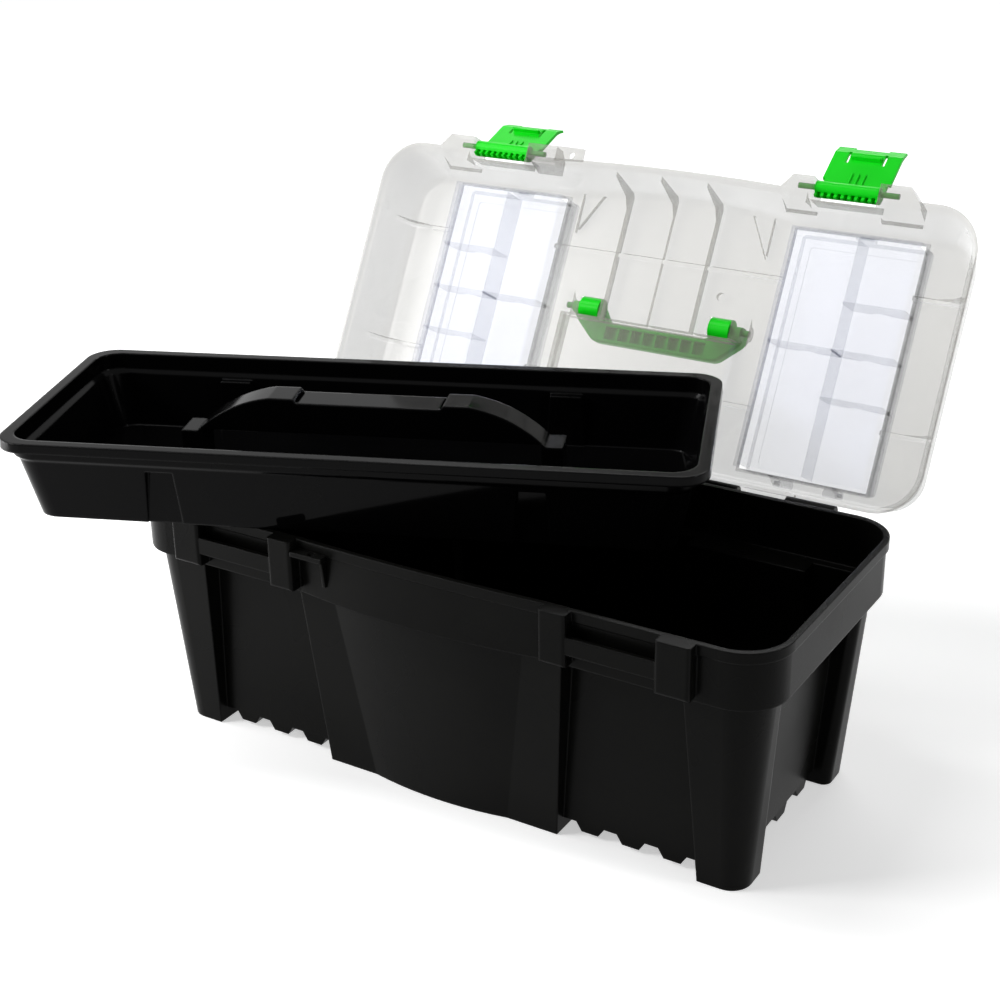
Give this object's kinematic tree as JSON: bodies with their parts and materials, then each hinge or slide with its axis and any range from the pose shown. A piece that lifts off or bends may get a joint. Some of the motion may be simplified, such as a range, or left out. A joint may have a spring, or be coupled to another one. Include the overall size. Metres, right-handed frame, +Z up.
{
  "type": "toolbox",
  "caption": "Open toolbox with a hinged clear lid holding small-part organisers, two snap latches, a folding carrying handle and a lift-out tray.",
  "frame": {"origin": "centre of the tub's base, on the floor", "axes": "+X along the length, -Y towards the latches, +Z up; the lid stands open and the tray lies across the rim"},
  "size_m": [0.7307, 0.5734, 0.4695],
  "materials": {
    "tub_black": "satin",
    "pin_black": "satin",
    "tray_black": "gloss",
    "lid_clear": "satin",
    "bin_clear": "satin",
    "cover_clear": "satin",
    "divider_clear": "satin",
    "green": "satin"
  },
  "bodies": {
    "tub": {"tub": "tub_black", "tub_padlock_tab": "tub_black", "hinge_pin_left": "pin_black", "hinge_pin_right": "pin_black"},
    "lid": {"lid": "lid_clear", "lid_padlock_ear": "lid_clear", "organiser_bin_left": "bin_clear", "organiser_bin_right": "bin_clear", "latch_rod_left": "green", "latch_rod_right": "green", "divider_1_left": "divider_clear", "divider_2_left": "divider_clear", "divider_3_left": "divider_clear", "divider_wide_left": "divider_clear", "divider_1_right": "divider_clear", "divider_2_right": "divider_clear", "divider_3_right": "divider_clear", "divider_wide_right": "divider_clear"},
    "latch_left": {"latch_left": "green"},
    "latch_right": {"latch_right": "green"},
    "carry_handle": {"carry_handle": "green"},
    "organiser_cover_left": {"organiser_cover_left": "cover_clear"},
    "organiser_cover_right": {"organiser_cover_right": "cover_clear"},
    "tray": {"tray": "tray_black"}
  },
  "joints": [
    {"name": "lid_hinge", "type": "hinge", "parent": "tub", "child": "lid", "pos_m": [0, 0.1407, 0.2118], "axis": [-1, 0, 0], "range_deg": [-119.5, 0]},
    {"name": "latch_left_hinge", "type": "hinge", "parent": "lid", "child": "latch_left", "pos_m": [-0.17375, 0.29242, 0.44503], "axis": [-1, 0, 0], "range_deg": [-131, 19]},
    {"name": "latch_right_hinge", "type": "hinge", "parent": "lid", "child": "latch_right", "pos_m": [0.17375, 0.29242, 0.44503], "axis": [-1, 0, 0], "range_deg": [-117, 33]},
    {"name": "handle_fold", "type": "hinge", "parent": "lid", "child": "carry_handle", "pos_m": [0, 0.27673, 0.30684], "axis": [1, 0, 0], "range_deg": [0, 55]},
    {"name": "cover_left_hinge", "type": "hinge", "parent": "lid", "child": "organiser_cover_left", "pos_m": [-0.178, 0.22744, 0.18996], "axis": [-1, 0, 0], "range_deg": [0, 100]},
    {"name": "cover_right_hinge", "type": "hinge", "parent": "lid", "child": "organiser_cover_right", "pos_m": [0.178, 0.22744, 0.18996], "axis": [-1, 0, 0], "range_deg": [0, 100]},
    {"name": "tray_slide", "type": "slide", "parent": "tub", "child": "tray", "axis": [0, 1, 0], "range_m": [-0.4745, 0]}
  ],
  "couplings": [
    {"joint": "tray_slide", "follows": "lid_hinge", "m_per_rad": 0.2272}
  ]
}
